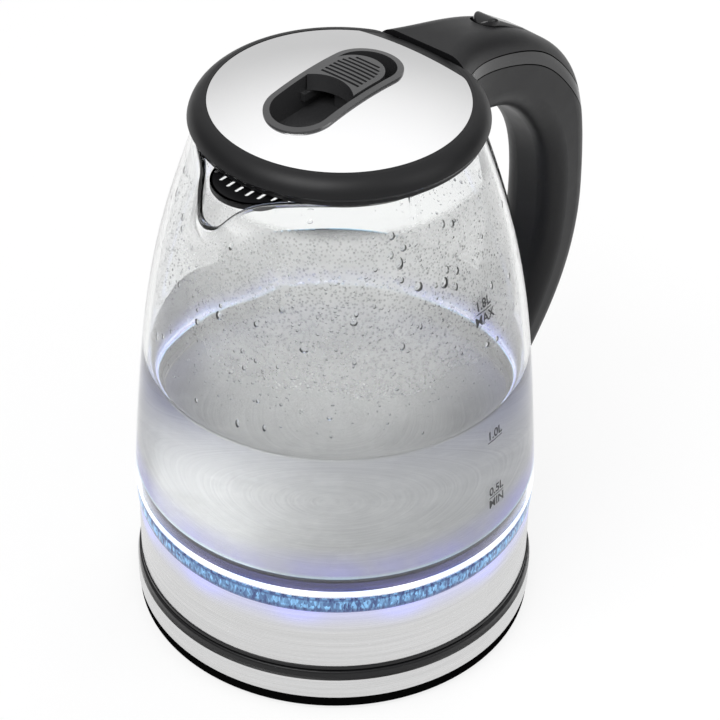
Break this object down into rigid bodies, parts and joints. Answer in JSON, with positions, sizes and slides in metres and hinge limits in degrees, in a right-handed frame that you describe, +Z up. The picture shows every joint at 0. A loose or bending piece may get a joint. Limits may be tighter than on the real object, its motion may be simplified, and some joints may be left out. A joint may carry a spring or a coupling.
{
  "type": "electric kettle",
  "caption": "Cordless glass electric kettle: tapered clear jug with a lit steel foot, hinged lid with sliding latch, looped black handle with rocker switch, round power base.",
  "frame": {"origin": "on the jug's upright axis at the table, under the middle of the power base's rubber foot ring", "axes": "+Z up, +X from the axis towards the handle, -X towards the spout, -Y towards the side with the level marks"},
  "size_m": [0.2252, 0.16, 0.2386],
  "materials": {
    "black_plastic": "satin",
    "soft_black": "fine matt",
    "gloss_black": "gloss",
    "brushed_steel": "brushed around",
    "polished_steel": "mirror polished",
    "plate_steel": "satin",
    "screw_steel": "plated",
    "rubber": "matt",
    "seal_clear": "translucent matt",
    "contact_brass": "bright",
    "light_guide": "clear moulded, lit blue",
    "board": "white resist",
    "led_lens": "clear",
    "cast_aluminium": "rolled",
    "element_sheath": "drawn",
    "control_plastic": "natural",
    "bimetal": "rolled",
    "glass": "clear",
    "switch_window": "clear over grey",
    "wire_sleeve": "woven sleeve"
  },
  "bodies": {
    "base": {"base_shell": "black_plastic", "base_band": "brushed_steel", "base_cover": "black_plastic", "base_screws": "screw_steel", "base_foot_ring": "rubber", "base_coupler": "black_plastic", "coupler_contacts": "contact_brass", "shutter_spring": "screw_steel"},
    "shutter": {"contact_shutter": "black_plastic"},
    "jug": {"jug_floor": "black_plastic", "jug_band": "brushed_steel", "light_ring": "light_guide", "led_board": "board", "leds": "led_lens", "heating_plate": "plate_steel", "glass_seal": "seal_clear", "diffuser_plate": "cast_aluminium", "heating_element": "element_sheath", "kettle_control": "control_plastic", "bimetal_discs": "bimetal", "control_contacts": "contact_brass", "glass_jug": "glass", "neck_collar": "black_plastic", "collar_seal": "seal_clear", "spout_filter": "black_plastic", "hinge_pin": "screw_steel", "handle_screws": "screw_steel", "handle_cover": "soft_black", "handle_trim": "gloss_black", "handle_body": "soft_black", "switch_pin": "screw_steel", "steam_switch": "control_plastic", "steam_bimetal": "bimetal", "switch_wires": "wire_sleeve"},
    "lid": {"lid_shell": "soft_black", "lid_plate": "polished_steel", "lid_bezel": "gloss_black", "lid_inner": "black_plastic", "lid_seal": "seal_clear", "latch_spring": "screw_steel"},
    "latch": {"latch_slider": "soft_black", "latch_bolt": "black_plastic"},
    "switch": {"switch_rocker": "gloss_black", "switch_lens": "switch_window"}
  },
  "joints": [
    {"name": "jug_swivel", "type": "hinge", "parent": "base", "child": "shutter", "pos_m": [0, 0, 0], "axis": [0, 0, 1], "continuous": true},
    {"name": "jug_lift", "type": "slide", "parent": "shutter", "child": "jug", "axis": [0, 0, 1], "range_m": [0, 0.05]},
    {"name": "lid_hinge", "type": "hinge", "parent": "jug", "child": "lid", "pos_m": [0.0436, 0, 0.2278], "axis": [0, 1, 0], "range_deg": [0, 75]},
    {"name": "latch_slide", "type": "slide", "parent": "lid", "child": "latch", "axis": [1, 0, 0], "range_m": [0, 0.006], "stiffness_N_per_m": 150, "springref_m": -0.004, "deforming": ["latch_spring"]},
    {"name": "switch_rock", "type": "hinge", "parent": "jug", "child": "switch", "pos_m": [0.09657, 0, 0.21084], "axis": [0, -1, 0], "range_deg": [0, 8]}
  ]
}
